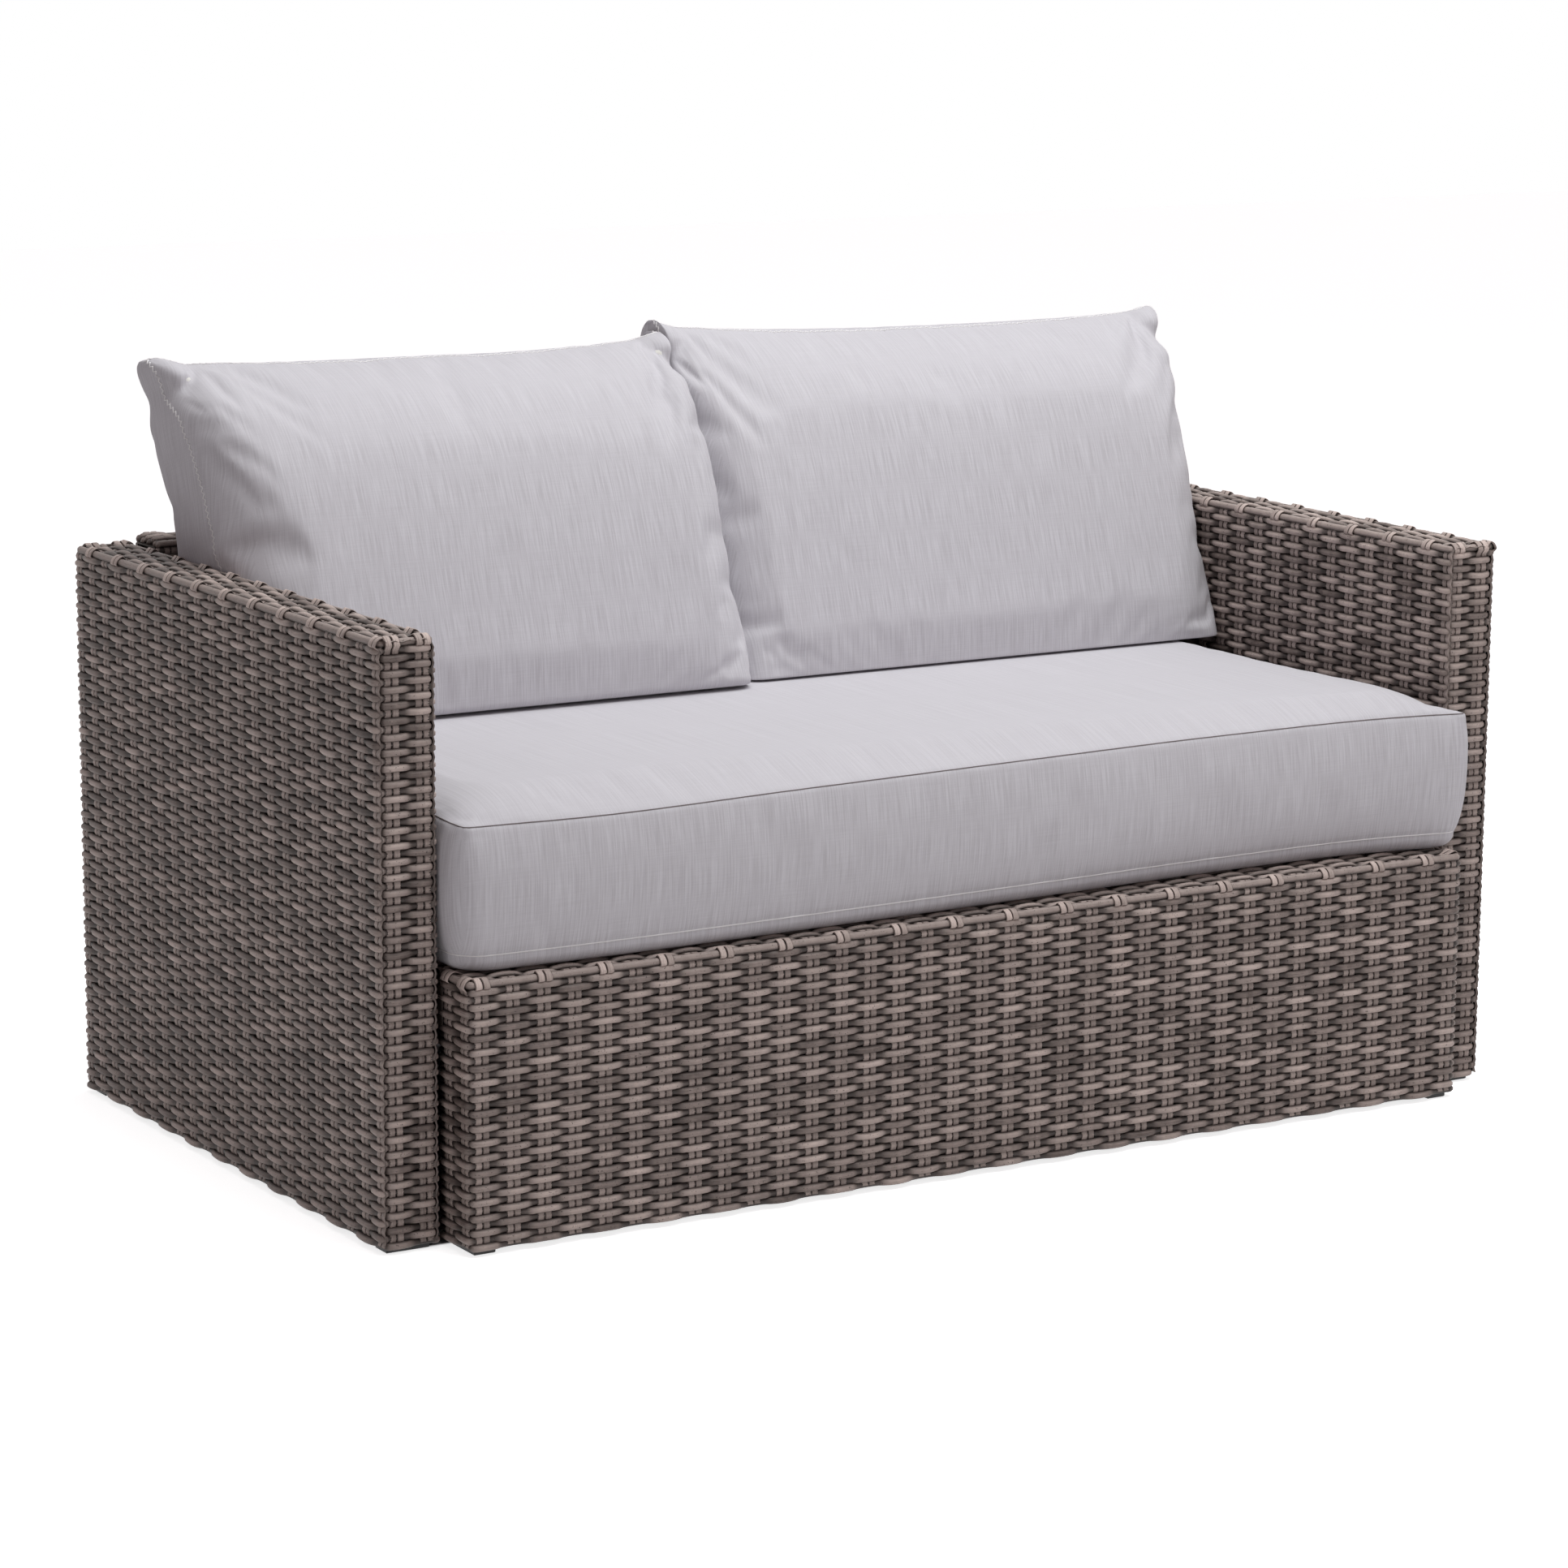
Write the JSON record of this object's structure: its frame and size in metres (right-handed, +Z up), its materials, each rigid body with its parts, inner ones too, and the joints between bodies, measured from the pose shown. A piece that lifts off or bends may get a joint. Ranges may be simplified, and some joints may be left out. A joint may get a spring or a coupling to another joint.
{
  "type": "patio loveseat",
  "caption": "Low box-armed outdoor loveseat in woven resin wicker, with a bench seat cushion and two loose back cushions that lift off.",
  "frame": {"origin": "on the floor, at the middle of the width and of the depth", "axes": "+X to the right seen from the front, -Y out of the front, +Z up"},
  "size_m": [1.45, 0.827, 0.8842],
  "materials": {
    "wicker": "matte woven resin strand, taupe grey",
    "frame_tube": "powder coated, dark taupe",
    "black_plastic": "moulded, matt",
    "zinc_steel": "zinc plated",
    "cushion_fabric": "slubbed outdoor cloth, pale greige",
    "cushion_fill": "foam and fibre",
    "zip_tape": "nylon coil"
  },
  "bodies": {
    "frame": {"left_arm_front_post": "frame_tube", "left_arm_rear_post": "frame_tube", "left_arm_top_rail": "frame_tube", "left_arm_bottom_rail": "frame_tube", "left_arm_seat_rail": "frame_tube", "left_arm_wicker": "wicker", "left_arm_glides": "black_plastic", "right_arm_front_post": "frame_tube", "right_arm_rear_post": "frame_tube", "right_arm_top_rail": "frame_tube", "right_arm_bottom_rail": "frame_tube", "right_arm_seat_rail": "frame_tube", "right_arm_wicker": "wicker", "right_arm_glides": "black_plastic", "apron_wicker": "wicker", "apron_glides": "black_plastic", "apron_left_post": "frame_tube", "apron_centre_post": "frame_tube", "apron_right_post": "frame_tube", "apron_bottom_rail": "frame_tube", "seat_front_rail": "frame_tube", "seat_left_rail": "frame_tube", "seat_right_rail": "frame_tube", "seat_rear_rail": "frame_tube", "seat_left_crossbar": "frame_tube", "seat_right_crossbar": "frame_tube", "seat_deck": "wicker", "back_outer_wicker": "wicker", "back_inner_wicker": "wicker", "back_glides": "black_plastic", "back_left_upright": "frame_tube", "back_centre_upright": "frame_tube", "back_right_upright": "frame_tube", "back_left_strut": "frame_tube", "back_centre_strut": "frame_tube", "back_right_strut": "frame_tube", "back_top_rail": "frame_tube", "back_bottom_rail": "frame_tube", "assembly_bolts": "zinc_steel", "bolt_washers": "zinc_steel", "arm_spacers": "black_plastic", "rivet_nuts": "zinc_steel"},
    "seat_cushion": {"seat_cushion_cover": "cushion_fabric", "seat_cushion_foam": "cushion_fill", "seat_cushion_zip": "zip_tape"},
    "left_back_cushion": {"left_back_cushion_cover": "cushion_fabric", "left_back_cushion_fill": "cushion_fill", "left_back_cushion_zip": "zip_tape"},
    "right_back_cushion": {"right_back_cushion_cover": "cushion_fabric", "right_back_cushion_fill": "cushion_fill", "right_back_cushion_zip": "zip_tape"}
  },
  "joints": [
    {"name": "seat_cushion_lift", "type": "slide", "parent": "frame", "child": "seat_cushion", "axis": [0, 0, 1], "range_m": [0, 0.36]},
    {"name": "left_back_cushion_lift", "type": "slide", "parent": "seat_cushion", "child": "left_back_cushion", "axis": [0, 0, 1], "range_m": [0, 0.3]},
    {"name": "right_back_cushion_lift", "type": "slide", "parent": "seat_cushion", "child": "right_back_cushion", "axis": [0, 0, 1], "range_m": [0, 0.3]}
  ]
}
